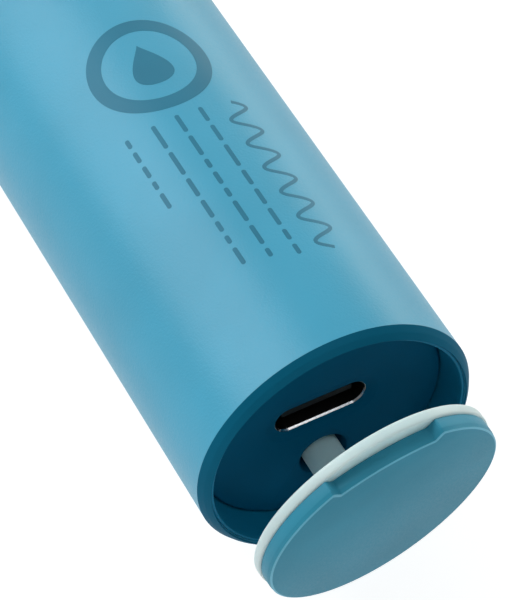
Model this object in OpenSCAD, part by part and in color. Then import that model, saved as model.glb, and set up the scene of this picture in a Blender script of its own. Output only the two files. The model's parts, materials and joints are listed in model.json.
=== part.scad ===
// Rechargeable sonic toothbrush, lying on its front face.
// +X runs along the handle from its base to the brush head, +Z is the back of the
// handle, and the origin is the centre of the base's rim. The brush face looks to -Z.

/* [Handle] */
// Radius of the handle's barrel
handle_r = 12.8; // [12.6:0.05:13.2]
// Length of the straight barrel, from the rim to the shoulder
barrel_len = 148; // [147:1:152]
// Length of the rounded shoulder
shoulder_len = 24; // [22:1:28]
// Wall of the outer shell
shell_wall = 0.88; // [0.8:0.02:0.9]
// Length of the sloped lip around the base
lip_len = 1.05; // [0.9:0.05:1.15]
// Radius of the flat nose at the end of the shoulder
nose_r = 7.6; // [7.4:0.1:8.2]

/* [Charging bay] */
// Depth of the bay's floor behind the rim
floor_x = 3.25; // [3.2:0.05:3.3]
// Thickness of the plate that makes the floor
plate_t = 2; // [1.8:0.1:2.1]
// Radius of the bay's wall at the floor
bay_r = 11.38; // [11.34:0.02:11.46]
// Width of the socket's opening
port_w = 8.34; // [8.3:0.02:8.4]
// Height of the socket's opening
port_h = 2.56; // [2.5:0.02:2.6]
// Height of the socket above the handle's axis
port_z = 1.18; // [1:0.02:1.3]
// Width of the sloped lead-in around the socket
port_lead_in = 0.95; // [0.8:0.05:1]

/* [End cap] */
// Radius of the cap's coloured disc
disc_r = 11.1; // [11:0.02:11.14]
// Thickness of the coloured disc
disc_t = 1.44; // [1.3:0.02:1.5]
// Radius of the cap's gasket
gasket_r = 11.25; // [11.15:0.02:11.27]
// Thickness of the gasket
gasket_t = 1.02; // [0.9:0.02:1.04]
// Half of the angle that the finger notch takes up
notch_half = 27; // [22:1:32]
// Radius at which the notch's floor lies, at its middle
notch_floor_r = 9.65; // [9.4:0.05:9.9]
// Distance of the tether below the handle's axis
tether_z = 5.1; // [5:0.05:5.2]
// Radius of the tether
tether_r = 1.7; // [1.6:0.05:1.8]
// Distance that the cap is pulled out when it hangs open
cap_travel = 6.24; // [6.2:0.02:6.4]
// Angle that the open cap tilts by
cap_tilt = 12.3; // [11.5:0.1:12.5]
// Place along the handle that the open cap tilts about
cap_pivot_x = 0.6; // [0.5:0.05:0.7]

/* [Button and lights] */
// Place of the button's centre along the handle
button_x = 112; // [110:1:113]
// Length of the button
button_len = 13.2; // [12:0.2:13.4]
// Width of the button
button_w = 8.2; // [7.6:0.2:8.4]
// Depth of the button's face below the barrel
button_sunk = 0.25; // [0.2:0.05:0.4]
// Gap around the button
button_gap = 0.2; // [0.15:0.05:0.25]
// Number of mode lights
light_count = 3; // [1:1:4]
// Place of the first mode light along the handle
light_x = 84; // [83:1:85]
// Distance between mode lights
light_pitch = 5; // [4:1:5]

/* [Battery and motor] */
// Radius of the battery's can
battery_r = 6.9; // [6.8:0.05:6.95]
// Length of the battery's can
battery_len = 49.4; // [48:0.2:49.6]
// Place of the battery's near end along the handle
battery_x = 20.7; // [20.6:0.1:20.8]
// Radius of the motor's can
motor_r = 9.6; // [9.4:0.1:9.6]
// Place of the motor can's open end along the handle
motor_x = 128; // [128:0.5:128.5]
// Length of the motor's can
motor_len = 33; // [32:0.5:33]
// Radius of the drive shaft
shaft_r = 2; // [1.9:0.05:2.05]
// Radial running clearance around the drive shaft
shaft_clearance = 0.05; // [0.03:0.01:0.08]

/* [Brush head] */
// Place where the brush head begins along the handle
head_x = 174.2; // [174.2:0.1:175]
// Radius of the brush head's base
head_base_r = 7; // [6.8:0.1:7.2]
// Radius of the brush head's neck
neck_r = 3.3; // [3.2:0.05:3.6]
// Place of the middle of the bristle platform along the handle
platform_x = 238; // [237:1:242]
// Length of the bristle platform
platform_len = 25; // [24:0.5:27]
// Width of the bristle platform
platform_w = 12.4; // [12:0.2:13]
// Radius of one bristle tuft
tuft_r = 0.8; // [0.7:0.05:0.85]
// Distance between tufts
tuft_pitch = 2.3; // [2.2:0.05:2.4]
// Gap between the table and the tips of the inner tufts
inner_tuft_short = 0.6; // [0.4:0.1:1]

/* [Hidden] */
$fn = 96;
// Every sub-part's name

eps = 0.01;
touch = 0.02;
past = 20;
shell_in_r = handle_r - shell_wall;
sleeve_r = shell_in_r - touch;
shoulder_in_len = shoulder_len - 1.7;
nose_x = barrel_len + shoulder_len;
nose_wall_x = barrel_len + shoulder_in_len;
nose_in_r = nose_r - 0.9;
nose_bore_r = 5.2;
lip_front_r = shell_in_r + 0.08;
lip_bulge = 0.05;
sleeve_face_x = 0.3;
sleeve_seat_x = floor_x + plate_t;
sleeve_end_x = 11;
sleeve_ledge_r = 10;
bay_draft = 0.2;
bay_lead_in = 0.08;
groove_from = 7;
groove_to = 8.6;
groove_depth = 0.9;
plate_r = bay_r - 0.05;
port_wall = 0.3;
port_recess_x = floor_x + 0.35;
port_flare = 0.3;
port_flare_w = 0.17;
port_mouth = 2 * (port_flare_w + touch);
port_rim = 2 * (port_wall + touch);
port_depth = 7.3;
tongue_tip_x = 4.3;
tongue_root_x = 9.4;
tongue_w = 6.6;
tongue_t = 0.6;
contact_pitch = 0.5;
contact_w = 0.24;
contact_t = 0.06;
contact_z = 0.335;
stem_hole_r = tether_r + 0.47;
board_t = 1;
charge_board_x = 6;
charge_board_end_x = 18.6;
charge_board_w = 15.2;
charge_board_z = port_z - port_h / 2 - port_wall - touch;
main_board_z = -5.6;
main_board_x = 73;
main_board_len = 49.8;
main_board_w = 16;
chassis_x = 19;
chassis_end_x = 147;
chassis_r = shell_in_r - 0.15;
chassis_in_r = chassis_r - 0.85;
chassis_rib = 1.2;
bulkhead_low_z = -4.4;
cradle_low_z = 0.6;
cradle_x = [32, 58];
bulkhead_x = [chassis_x, 71.6, 122.9];
wire_port_x = [84, 98];
wire_port_r = 3;
battery_end_x = battery_x + battery_len;
terminal_h = 0.8;
terminal_r = 2.6;
tab_t = 0.2;
tab_w = 4;
tab_low_z = -8.6;
post_x = [78, 119];
post_r = 2.2;
screw_head_h = 1.3;
screw_head_r = 1.9;
screw_hole_r = 1;
screw_slot = 0.4;
light_r = 0.8;
window_end_z = -8.3;
switch_size = 4.5;
switch_h = 1.8;
plunger_r = 0.92;
plunger_tip_z = -9.25;
button_stem_z = plunger_tip_z - 0.05;
button_stem_low_z = -11.2;
button_back_z = -8;
seal_inner_gap = 2.3;
seal_outer_gap = 4.4;
button_inner_r = 10.9;
button_flange = 0.9;
wire_r = 0.4;
charge_lead_x = 17.2;
charge_lead_z = -8.9;
cell_lead_z = -9.9;
motor_lead_z = -4.9;
motor_wall = 0.7;
motor_end_wall_x = motor_x + motor_len - 1.4;
shaft_from = motor_x - 1.9;
bearing_r = 4;
bearing_w = 1.8;
core_from = motor_x + 8;
core_to = motor_x + 24;
core_tooth_r = 5.4;
core_ring_r = 7.6;
yoke_r = 3.4;
magnet_r = 5;
coil_overhang = 2.2;
shaft_end_x = 196;
coupling_flat_z = 1.3;
coupling_flat_x = 177;
head_bore_r = 4.6;
head_bore_end = shaft_end_x + 2;
neck_end_x = platform_x - platform_len / 2 + 1.5;
clip_from = head_x + 6.5;
clip_to = head_x + 17.5;
table_z = -handle_r;
neck_run = 36;
platform_face_z = -2;
tuft_face_z = platform_face_z - touch;
tuft_row_pitch = 2.1;
cap_axis = [-0.30, -0.86, 0.38];
cap_pivot = [cap_pivot_x, 0, -tether_z];
shank_face_x = -1;
barb_x = 6.85;
barb_r = 2.6;
boss_t = 0.5;
boss_r = 2.9;
notch_curve_r = 16.55;

shell_blue = [0.33, 0.64, 0.75];
deep_blue = [0.06, 0.30, 0.40];
cap_blue = [0.30, 0.58, 0.68];
milky = [0.88, 0.94, 0.94];
steel = [0.72, 0.73, 0.75];
dark_grey = [0.15, 0.15, 0.16];
board_green = [0.05, 0.35, 0.22];
gold = [0.85, 0.68, 0.30];
copper = [0.72, 0.42, 0.22];
white = [0.93, 0.94, 0.94];

// Points [radius, place along the axis] on an elliptical arc
function arc_points(centre, radii, from, to, steps) =
  [for (i = [0:steps])
    let (a = from + (to - from) * i / steps)
      [centre[0] + radii[0] * cos(a), centre[1] + radii[1] * sin(a)]];

// Turns an outline of [radius, place along the axis] points about the X axis
module turned(points)
  rotate([0, 90, 0]) rotate_extrude() polygon(points);

// Stands children that were drawn upright so that they run along +X
module along_x(x = 0)
  translate([x, 0, 0]) rotate([0, 90, 0]) children();

module rod(radius, x0, x1)
  along_x(x0) cylinder(h = x1 - x0, r = radius);

module tube(outer, inner, x0, x1)
  difference() {
    rod(outer, x0, x1);
    rod(inner, x0 - eps, x1 + eps);
  }

// Flat outline with round ends, its long side along Y
module stadium(long, wide) {
  span = long - wide;
  square([wide, span], center = true);
  for (side = [-1, 1])
    translate([0, side * span / 2]) circle(d = wide);
}

// Upright block with round ends along X, from z0 to z1
module stadium_post(x, long, wide, z0, z1)
  translate([x, 0, z0]) rotate([0, 0, 90])
    linear_extrude(z1 - z0) stadium(long, wide);

// Funnel whose outline is a stadium that narrows along its height
module stadium_funnel(long, wide, narrow, height) {
  span = long - wide;
  for (side = [-1, 1])
    translate([0, side * span / 2, 0])
      cylinder(h = height, r1 = wide / 2, r2 = narrow / 2);
  rotate([90, 0, 0])
    linear_extrude(span, center = true)
      polygon([[-wide / 2, 0], [wide / 2, 0], [narrow / 2, height], [-narrow / 2, height]]);
}

// A box given by its two opposite corners
module block(low, high)
  translate(low) cube(high - low);

// Moves the closed cap to where it hangs open
module open_pose()
  translate(cap_pivot) rotate(a = cap_tilt, v = cap_axis) translate(-cap_pivot)
    translate([-cap_travel, 0, 0]) children();

function light_places() = [for (i = [0:light_count - 1]) light_x + i * light_pitch];

// ---- Handle ----

module handle_shell() {
  lip_middle_r = (lip_front_r + handle_r) / 2 + lip_bulge;
  color(shell_blue)
  difference() {
    turned(concat(
      [[shell_in_r, 0.12], [lip_front_r, 0], [lip_middle_r, lip_len / 2 - lip_bulge],
        [handle_r, lip_len]],
      arc_points([nose_r, barrel_len], [handle_r - nose_r, shoulder_len], 0, 90, 14),
      [[nose_bore_r, nose_x], [nose_bore_r, nose_wall_x]],
      arc_points([nose_in_r, barrel_len], [shell_in_r - nose_in_r, shoulder_in_len], 90, 0, 12)));
    stadium_post(button_x, button_len + 2 * button_gap, button_w + 2 * button_gap,
      table_z - 1, -shell_in_r * 0.75);
    for (x = light_places())
      translate([x, 0, table_z - 1]) cylinder(h = 4, r = light_r);
  }
}

// Liner that forms the bay's wall and carries the plate and the ring seal
module base_sleeve()
  color(deep_blue)
  turned([[sleeve_r, sleeve_face_x], [bay_r + bay_draft + bay_lead_in, sleeve_face_x],
    [bay_r + bay_draft, sleeve_face_x + 0.45], [bay_r, floor_x], [bay_r, sleeve_seat_x],
    [sleeve_ledge_r, sleeve_seat_x], [sleeve_ledge_r, sleeve_end_x],
    [sleeve_r, sleeve_end_x], [sleeve_r, groove_to], [sleeve_r - groove_depth, groove_to],
    [sleeve_r - groove_depth, groove_from], [sleeve_r, groove_from]]);

module base_oring()
  color(dark_grey)
  along_x((groove_from + groove_to) / 2)
    rotate_extrude() translate([sleeve_r - groove_depth / 2, 0])
      circle(r = groove_depth / 2 - touch, $fn = 32);

// Floor of the bay, with the socket's opening and the tether's hole
module port_plate()
  color(deep_blue)
  difference() {
    turned([[0, floor_x], [plate_r - 0.25, floor_x], [plate_r, floor_x + 0.25],
      [plate_r, sleeve_seat_x - touch], [0, sleeve_seat_x - touch]]);
    translate([0, 0, port_z]) along_x(port_recess_x - touch)
      linear_extrude(plate_t)
        stadium(port_w + port_rim, port_h + port_rim);
    translate([0, 0, port_z]) along_x(floor_x - eps)
      stadium_funnel(port_w + port_mouth + 2 * port_lead_in, port_h + port_mouth + 2 * port_lead_in,
        port_h + port_mouth, port_recess_x - floor_x);
    translate([0, 0, -tether_z]) rod(stem_hole_r, floor_x - 1, sleeve_seat_x + 1);
    translate([0, 0, -tether_z]) along_x(floor_x - eps)
      cylinder(h = 0.3, r1 = stem_hole_r + 0.3, r2 = stem_hole_r);
  }

// ---- Charging socket ----

// Drawn shell of the socket, whose mouth flares behind the plate's opening
module usb_shell()
  color(steel)
  translate([0, 0, port_z])
  difference() {
    along_x(port_recess_x) linear_extrude(port_depth)
      stadium(port_w + 2 * port_wall, port_h + 2 * port_wall);
    along_x(port_recess_x - eps) linear_extrude(port_depth + 1)
      stadium(port_w, port_h);
    along_x(port_recess_x - eps)
      stadium_funnel(port_w + 2 * port_flare_w, port_h + 2 * port_flare_w, port_h, port_flare);
  }

module usb_insulator()
  color(dark_grey)
  translate([0, 0, port_z]) {
    along_x(tongue_root_x) linear_extrude(1.5) stadium(port_w - touch, port_h - touch);
    block([tongue_tip_x, -tongue_w / 2, -tongue_t / 2],
      [tongue_root_x + eps, tongue_w / 2, tongue_t / 2]);
  }

module usb_contacts()
  color(gold)
  for (side = [-1, 1], i = [0:11])
    translate([tongue_tip_x + 0.3, (i - 5.5) * contact_pitch - contact_w / 2,
        port_z + side * contact_z - contact_t / 2])
      cube([4.6, contact_w, contact_t]);

module charge_board()
  color(board_green)
  block([charge_board_x, -charge_board_w / 2, charge_board_z - board_t],
    [charge_board_end_x, charge_board_w / 2, charge_board_z]);

module charge_chips()
  color(dark_grey) {
    block([12, -3, charge_board_z + touch], [15.2, 0.4, charge_board_z + 1.1]);
    for (i = [0:3])
      translate([11.8 + i * 1.6, 3, charge_board_z + touch]) cube([1, 2, 0.8]);
  }

// ---- Chassis and battery ----

module chassis()
  color(white)
  difference() {
    intersection() {
      union() {
        intersection() {
          tube(chassis_r, chassis_in_r, chassis_x, chassis_end_x);
          block([0, -past, 0], [chassis_end_x + 1, past, past]);
        }
        for (x = bulkhead_x)
          block([x, -past, bulkhead_low_z], [x + chassis_rib, past, past]);
        for (x = cradle_x)
          block([x, -past, cradle_low_z], [x + chassis_rib, past, past]);
        for (x = post_x)
          translate([x, 0, main_board_z + touch]) cylinder(h = past, r = post_r);
      }
      rod(chassis_r, 0, chassis_end_x + 1);
    }
    for (x = cradle_x)
      rod(battery_r + 0.3, x - 1, x + chassis_rib + 1);
    for (x = post_x)
      translate([x, 0, main_board_z - 1]) cylinder(h = 7, r = screw_hole_r);
    for (x = wire_port_x)
      translate([x, 0, 0]) cylinder(h = past, r = wire_port_r);
  }

module battery_cell()
  color(steel) {
    turned([[0, battery_x], [battery_r - 0.5, battery_x], [battery_r, battery_x + 0.5],
      [battery_r, battery_end_x - 0.5], [battery_r - 0.5, battery_end_x], [0, battery_end_x]]);
    rod(terminal_r, battery_end_x - eps, battery_end_x + terminal_h);
  }

module battery_sleeve()
  color([0.2, 0.42, 0.72])
  tube(battery_r + 0.2, battery_r + touch, battery_x + 0.6, battery_end_x - 0.6);

module battery_tabs()
  color(steel) {
    block([battery_x - tab_t, -tab_w / 2, tab_low_z], [battery_x - touch, tab_w / 2, 3]);
    block([battery_end_x + terminal_h + touch, -tab_w / 2, tab_low_z],
      [battery_end_x + terminal_h + touch + tab_t, tab_w / 2, 2.4]);
  }

// ---- Electronics ----

module main_board()
  color(board_green)
  difference() {
    block([main_board_x, -main_board_w / 2, main_board_z - board_t],
      [main_board_x + main_board_len, main_board_w / 2, main_board_z]);
    for (x = post_x)
      translate([x, 0, main_board_z - 2]) cylinder(h = 3, r = screw_hole_r + 0.05);
  }

module board_chips()
  color(dark_grey) {
    block([88, -3, main_board_z + touch], [94, 3, main_board_z + 1.2]);
    block([98, -6, main_board_z + touch], [101, -3, main_board_z + 1]);
    for (i = [0:5])
      translate([98 + i * 1.8, 2.5, main_board_z + touch]) cube([1, 2, 0.8]);
    for (i = [0:3])
      translate([104 + i * 3, -6, main_board_z + touch]) cylinder(h = 1.6, r = 1.1);
  }

module mode_leds()
  color(white)
  for (x = light_places())
    block([x - light_r, -0.6, main_board_z - board_t - 0.7],
      [x + light_r, 0.6, main_board_z - board_t - touch]);

// Clear light guides that end flush with the barrel
module light_windows()
  color([0.9, 0.95, 1, 0.6])
  for (x = light_places())
    intersection() {
      translate([x, 0, table_z - 1])
        cylinder(h = window_end_z - table_z + 1, r = light_r - 0.03, $fn = 48);
      rod(handle_r - 0.03, x - 3, x + 3);
    }

module switch_body()
  color(dark_grey)
  difference() {
    block([button_x - switch_size / 2, -switch_size / 2, main_board_z - board_t - switch_h],
      [button_x + switch_size / 2, switch_size / 2, main_board_z - board_t - touch]);
    translate([button_x, 0, -9]) cylinder(h = 1.5, r = plunger_r + 0.06);
  }

module switch_plunger()
  color(white)
  translate([button_x, 0, plunger_tip_z]) cylinder(h = 1.2, r = plunger_r);

module power_button()
  color(cap_blue) {
    intersection() {
      stadium_post(button_x, button_len, button_w, table_z, button_back_z);
      tube(handle_r - button_sunk, button_inner_r, button_x - 10, button_x + 10);
    }
    intersection() {
      stadium_post(button_x, button_len + 2 * button_flange, button_w + 2 * button_flange,
        table_z, button_back_z);
      tube(shell_in_r - 0.2, button_inner_r, button_x - 10, button_x + 10);
    }
    translate([button_x, 0, button_stem_low_z])
      cylinder(h = button_stem_z - button_stem_low_z, r = 1.2);
  }

// Soft ring that closes the gap around the button from inside
module button_seal()
  color(milky)
  intersection() {
    difference() {
      stadium_post(button_x, button_len + seal_outer_gap, button_w + seal_outer_gap,
        table_z, button_back_z);
      stadium_post(button_x, button_len + seal_inner_gap, button_w + seal_inner_gap,
        table_z - 1, button_back_z + 1);
    }
    tube(shell_in_r - touch, button_inner_r, button_x - 12, button_x + 12);
  }

module board_screws()
  color(steel)
  for (x = post_x)
    translate([x, 0, main_board_z - board_t - screw_head_h - touch]) {
      difference() {
        cylinder(h = screw_head_h, r = screw_head_r);
        for (turn = [0, 90])
          rotate([0, 0, turn])
            translate([-1.3, -screw_slot / 2, -eps]) cube([2.6, screw_slot, 0.5]);
      }
      cylinder(h = 6.5, r = screw_hole_r - 0.05);
    }

// A straight run of wire along one axis, with a round joint at its start
module wire_run(from, to) {
  gap = to - from;
  turn = abs(gap[0]) > 0 ? [0, gap[0] > 0 ? 90 : -90, 0]
    : abs(gap[1]) > 0 ? [gap[1] > 0 ? -90 : 90, 0, 0]
    : [gap[2] > 0 ? 0 : 180, 0, 0];
  translate(from) {
    sphere(r = wire_r, $fn = 24);
    rotate(turn) cylinder(h = norm(gap), r = wire_r, $fn = 24);
  }
}

module wire(points)
  for (i = [0:len(points) - 2])
    wire_run(points[i], points[i + 1]);

// Pairs of leads from the charging board, the cell's first tab and the motor to the main board
module wire_leads() {
  solder_z = main_board_z - board_t - wire_r - touch;
  tab_x = battery_x - wire_r - 0.22;
  charge_end_x = main_board_x + 1.5;
  cell_end_x = main_board_x + 0.6;
  motor_start_x = main_board_x + main_board_len - 1.4;
  color([0.75, 0.1, 0.1])
  for (side = [-1, 1]) {
    wire([[charge_lead_x, side * 5, charge_board_z - board_t - wire_r - 0.05],
      [charge_lead_x, side * 5, charge_lead_z], [charge_end_x, side * 5, charge_lead_z],
      [charge_end_x, side * 5, solder_z]]);
    wire([[tab_x, side * 1.2, -7.6], [tab_x, side * 1.2, cell_lead_z],
      [cell_end_x, side * 1.2, cell_lead_z], [cell_end_x, side * 1.2, solder_z]]);
    wire([[motor_start_x, side * 6, main_board_z + wire_r + touch],
      [motor_start_x, side * 6, motor_lead_z], [motor_start_x + 3, side * 6, motor_lead_z]]);
  }
}

// ---- Motor ----

module motor_can()
  color(steel)
  turned([[motor_r, motor_x], [motor_r, motor_x + motor_len],
    [bearing_r + touch, motor_x + motor_len], [bearing_r + touch, motor_end_wall_x],
    [motor_r - motor_wall, motor_end_wall_x], [motor_r - motor_wall, motor_x]]);

module motor_core()
  color(dark_grey) {
    tube(motor_r - motor_wall - touch, core_ring_r, core_from, core_to);
    for (turn = [45:90:315])
      rotate([turn, 0, 0])
        intersection() {
          block([core_from, -1.5, core_tooth_r], [core_to, 1.5, core_ring_r + 0.4]);
          tube(core_ring_r + 0.4, core_tooth_r, core_from - 1, core_to + 1);
        }
  }

module motor_coils()
  color(copper)
  for (turn = [45:90:315])
    rotate([turn, 0, 0])
      difference() {
        block([core_from - coil_overhang, -2.8, 5.8], [core_to + coil_overhang, 2.8, 6.9]);
        block([core_from - 0.1, -1.6, 5], [core_to + 0.1, 1.6, 8]);
      }

module motor_end_cap()
  color(dark_grey)
  turned([[0, motor_x - 2.8], [motor_r, motor_x - 2.8], [motor_r, motor_x - touch],
    [bearing_r + touch, motor_x - touch], [bearing_r + touch, motor_x - 2], [0, motor_x - 2]]);

module shaft_bearings()
  color(copper)
  for (x = [shaft_from, motor_end_wall_x])
    tube(bearing_r, shaft_r + shaft_clearance, x, x + bearing_w);

module motor_dampers()
  color(dark_grey)
  for (x = [motor_x + 3, motor_x + 13])
    tube(chassis_in_r - touch, motor_r + touch, x, x + 4);

module shaft_seal()
  color(milky)
  turned([[shaft_r + shaft_clearance, nose_wall_x - 0.8], [nose_bore_r + 1, nose_wall_x - 0.8],
    [nose_bore_r + 1, nose_wall_x - touch], [nose_bore_r - touch, nose_wall_x - touch],
    [nose_bore_r - touch, nose_x + 0.8], [3.2, nose_x + 1.4], [shaft_r + shaft_clearance, nose_x + 1.4]]);

module nose_ring()
  color(white)
  turned([[nose_bore_r + 0.05, nose_x + touch], [nose_r - 0.2, nose_x + touch],
    [nose_r - 0.2, nose_x + 0.9], [nose_r - 0.5, nose_x + 1.2], [nose_bore_r + 0.05, nose_x + 1.2]]);

// ---- Drive ----

module drive_shaft()
  color(steel)
  difference() {
    turned([[0, shaft_from], [shaft_r, shaft_from], [shaft_r, shaft_end_x - 0.6],
      [shaft_r - 0.6, shaft_end_x], [0, shaft_end_x]]);
    block([coupling_flat_x, -3, coupling_flat_z], [shaft_end_x + 1, 3, 4]);
  }

module rotor_yoke()
  color(steel)
  tube(yoke_r, shaft_r + touch / 2, core_from - 2, core_to + 2);

module rotor_magnets()
  color(dark_grey)
  for (turn = [0:90:270])
    rotate([turn, 0, 0])
      intersection() {
        tube(magnet_r, yoke_r + touch, core_from, core_to);
        block([core_from - 1, -2.3, 2], [core_to + 1, 2.3, magnet_r + 1]);
      }

// ---- Brush head ----

// Platform whose two faces are bevelled
module head_platform() {
  side_h = 3;
  low_bevel = 0.5;
  top_bevel = 0.9;
  translate([platform_x, 0, platform_face_z]) rotate([0, 0, 90]) {
    translate([0, 0, low_bevel]) linear_extrude(side_h) stadium(platform_len, platform_w);
    translate([0, 0, low_bevel + side_h])
      stadium_funnel(platform_len, platform_w, platform_w - 2 * top_bevel, top_bevel);
    mirror([0, 0, 1]) translate([0, 0, -low_bevel])
      stadium_funnel(platform_len, platform_w, platform_w - 0.8, low_bevel);
  }
}

// Outline of the brush head from its base to the platform, as [radius, place]
function head_outline() = concat(
  [[head_base_r, head_x + 2]],
  [for (i = [0:14])
    let (t = i / 14)
      [neck_r + (head_base_r - neck_r) * (1 + cos(180 * t)) / 2, head_x + 8 + t * neck_run]],
  [[neck_r - 0.2, neck_end_x - 4.5], [1.95, neck_end_x]]);

module head_sleeve()
  color(white)
  difference() {
    union() {
      turned(concat([[0, head_x + 2]], head_outline(), [[0, neck_end_x]]));
      head_platform();
    }
    rod(head_bore_r, head_x - 1, head_bore_end);
  }

// Coupling that grips the drive shaft's flat
module head_insert()
  color(dark_grey)
  difference() {
    rod(head_bore_r - touch, head_x + 1.8, head_bore_end - 0.1);
    difference() {
      rod(shaft_r + shaft_clearance, head_x, shaft_end_x + 0.8);
      block([head_x + 4, -3, coupling_flat_z + 0.06], [shaft_end_x + 2, 3, 4]);
    }
    block([clip_from - 0.5, -1.6, coupling_flat_z - 0.3], [clip_to + 0.5, 1.6, 2.6]);
  }

module head_clip()
  color(steel)
  block([clip_from, -1.4, coupling_flat_z + 0.1], [clip_to, 1.4, coupling_flat_z + 0.4]);

module head_ring()
  color(cap_blue)
  turned([[4.7, head_x], [head_base_r - 0.2, head_x], [head_base_r, head_x + 0.3],
    [head_base_r, head_x + 1.98], [4.7, head_x + 1.98]]);

// Rows of tufts: [place along the handle, place across]
function tuft_rows() = [for (row = [-2:2])
  let (count = abs(row) == 2 ? 7 : abs(row) == 1 ? 8 : 9)
    [for (i = [0:count - 1])
      [platform_x + (i - (count - 1) / 2) * tuft_pitch, row * tuft_row_pitch]]];

function is_outer(row, i, count) = abs(row - 2) == 2 || i == 0 || i == count - 1;

module tufts(outer)
  for (row = [0:4])
    for (i = [0:len(tuft_rows()[row]) - 1])
      if (is_outer(row, i, len(tuft_rows()[row])) == outer)
        translate([tuft_rows()[row][i][0], tuft_rows()[row][i][1], table_z + (outer ? 0 : inner_tuft_short)])
          cylinder(h = tuft_face_z - table_z - (outer ? 0 : inner_tuft_short), r = tuft_r, $fn = 16);

module tufts_outer()
  color(white) tufts(true);

module tufts_inner()
  color([0.35, 0.65, 0.8]) tufts(false);

// ---- End cap ----

// Straight part of the tether, held in the plate by its barb
module tether_shank()
  color(milky)
  translate([0, 0, -tether_z])
    turned([[0, shank_face_x], [tether_r, shank_face_x], [tether_r, barb_x], [barb_r, barb_x],
      [barb_r, barb_x + 0.6], [1, barb_x + 2.4], [0, barb_x + 2.4]]);

// Flexible part of the tether, bent while the cap hangs open
module tether_neck()
  color(milky)
  hull() {
    translate([0, 0, -tether_z]) rod(tether_r, shank_face_x - 0.07, shank_face_x - touch);
    open_pose() translate([0, 0, -tether_z])
      rod(tether_r, disc_t + gasket_t + boss_t + touch, disc_t + gasket_t + boss_t + 0.07);
  }

// Finger notch: a wedge whose floor is a wide arc
module finger_notch() {
  side_x = -2 * disc_r * cos(notch_half);
  side_y = 2 * disc_r * sin(notch_half);
  difference() {
    polygon([[0, 0], [side_x, side_y], [side_x, -side_y]]);
    translate([notch_curve_r - notch_floor_r, 0]) circle(r = notch_curve_r);
  }
}

module cap_disc()
  color(cap_blue)
  open_pose()
    intersection() {
      along_x(0) linear_extrude(disc_t)
        difference() {
          circle(r = disc_r);
          finger_notch();
        }
      turned([[0, 0], [disc_r - 0.12, 0], [disc_r - 0.07, 0.05], [disc_r, 0.45],
        [disc_r, disc_t - touch], [0, disc_t - touch]]);
    }

// Soft back of the cap, with the pad that covers the socket and the tether's boss
module cap_gasket()
  color(milky)
  open_pose() {
    turned([[0, disc_t], [gasket_r - 0.15, disc_t], [gasket_r, disc_t + 0.15],
      [gasket_r, disc_t + gasket_t - 0.25], [gasket_r - 0.25, disc_t + gasket_t],
      [0, disc_t + gasket_t]]);
    translate([0, 0, port_z]) along_x(disc_t + gasket_t - eps)
      stadium_funnel(port_w + 1.4, port_h + 1.4, port_h + 0.6, 0.65);
    translate([0, 0, -tether_z]) along_x(disc_t + gasket_t - eps)
      cylinder(h = boss_t + eps, r1 = boss_r, r2 = tether_r + 0.2);
  }

handle_shell();
base_sleeve();
base_oring();
port_plate();
usb_shell();
usb_insulator();
usb_contacts();
charge_board();
charge_chips();
chassis();
battery_cell();
battery_sleeve();
battery_tabs();
main_board();
board_chips();
mode_leds();
light_windows();
switch_body();
button_seal();
board_screws();
wire_leads();
motor_can();
motor_core();
motor_coils();
motor_end_cap();
shaft_bearings();
motor_dampers();
shaft_seal();
nose_ring();
switch_plunger();
power_button();
drive_shaft();
rotor_yoke();
rotor_magnets();
head_sleeve();
head_insert();
head_clip();
head_ring();
tufts_outer();
tufts_inner();
tether_shank();
tether_neck();
cap_disc();
cap_gasket();
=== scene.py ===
import json
import math
import random

import bmesh
import bpy
from mathutils import Matrix, Vector


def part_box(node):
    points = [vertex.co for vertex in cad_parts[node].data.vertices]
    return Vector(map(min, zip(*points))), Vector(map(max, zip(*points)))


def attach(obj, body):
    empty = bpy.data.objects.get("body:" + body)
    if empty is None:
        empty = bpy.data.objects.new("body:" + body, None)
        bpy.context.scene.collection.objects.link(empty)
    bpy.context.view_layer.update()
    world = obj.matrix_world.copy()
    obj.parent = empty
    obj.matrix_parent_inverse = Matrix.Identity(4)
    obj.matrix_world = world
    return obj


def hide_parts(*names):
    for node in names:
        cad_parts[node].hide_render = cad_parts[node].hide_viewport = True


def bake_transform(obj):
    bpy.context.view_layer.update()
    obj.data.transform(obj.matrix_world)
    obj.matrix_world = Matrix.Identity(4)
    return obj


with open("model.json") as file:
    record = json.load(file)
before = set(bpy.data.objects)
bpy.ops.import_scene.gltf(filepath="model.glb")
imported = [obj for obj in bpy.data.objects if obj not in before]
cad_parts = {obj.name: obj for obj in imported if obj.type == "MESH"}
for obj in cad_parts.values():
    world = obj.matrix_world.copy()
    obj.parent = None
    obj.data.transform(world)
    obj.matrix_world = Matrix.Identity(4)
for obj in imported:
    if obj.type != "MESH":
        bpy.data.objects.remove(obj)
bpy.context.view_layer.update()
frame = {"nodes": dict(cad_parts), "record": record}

MM = 0.001
TINY = 1e-6
RECORD = frame["record"]
JOINTS = {joint["name"]: joint for joint in RECORD["behaviour"]["joints"]}
COUPLINGS = {pair["joint"]: pair["ratio"] for pair in RECORD["behaviour"]["couplings"]}


# ---------------------------------------------------------------- sizes read from the frame

def node_box(node):
    """Lowest and highest corner of a CAD node, in millimetres."""
    low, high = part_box(node)
    return Vector(low) / MM, Vector(high) / MM


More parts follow.
